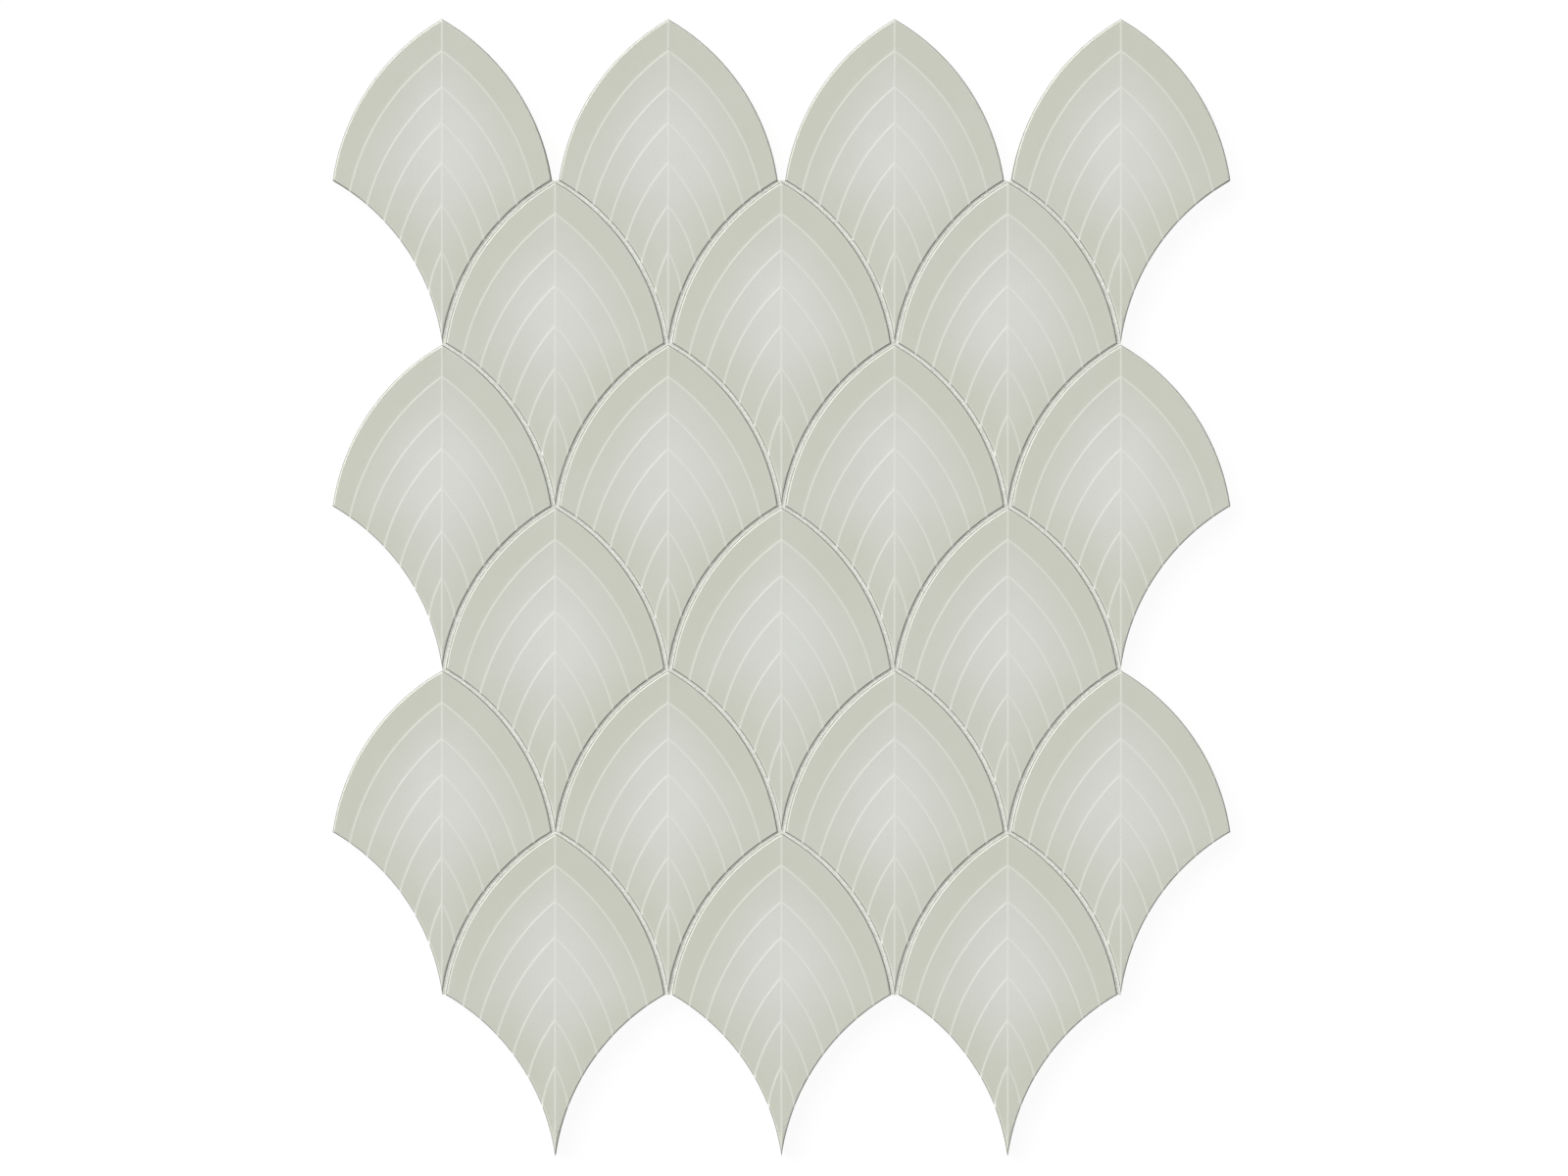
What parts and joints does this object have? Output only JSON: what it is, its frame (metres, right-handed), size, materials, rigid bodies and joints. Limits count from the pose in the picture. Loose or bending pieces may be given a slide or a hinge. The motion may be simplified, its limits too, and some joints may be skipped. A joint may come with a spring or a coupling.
{
  "type": "fish scale mosaic tile sheet",
  "caption": "Flat mosaic sheet of leaf-shaped fish scale tiles in staggered, interlocking rows, with bevelled faces, recessed grout and a thread net on its back, for facing a wall.",
  "frame": {"origin": "middle of the sheet's back, on the plane that it lies on", "axes": "+Z out of the glazed face, +Y towards the heads of the scales, +X along the rows"},
  "size_m": [0.2626, 0.3326, 0.008],
  "materials": {
    "glazed_tile": "pale grey-green glaze, satin",
    "grout": "sanded cement grout, matte",
    "net_thread": "coated glass-fibre thread, white"
  },
  "bodies": {
    "root": {"tile_row1_col1": "glazed_tile", "tile_row1_col2": "glazed_tile", "tile_row1_col3": "glazed_tile", "tile_row1_col4": "glazed_tile", "tile_row2_col1": "glazed_tile", "tile_row2_col2": "glazed_tile", "tile_row2_col3": "glazed_tile", "tile_row3_col1": "glazed_tile", "tile_row3_col2": "glazed_tile", "tile_row3_col3": "glazed_tile", "tile_row3_col4": "glazed_tile", "tile_row4_col1": "glazed_tile", "tile_row4_col2": "glazed_tile", "tile_row4_col3": "glazed_tile", "tile_row5_col1": "glazed_tile", "tile_row5_col2": "glazed_tile", "tile_row5_col3": "glazed_tile", "tile_row5_col4": "glazed_tile", "tile_row6_col1": "glazed_tile", "tile_row6_col2": "glazed_tile", "tile_row6_col3": "glazed_tile", "joint_grout": "grout", "net_warp": "net_thread", "net_weft": "net_thread"}
  },
  "joints": []
}
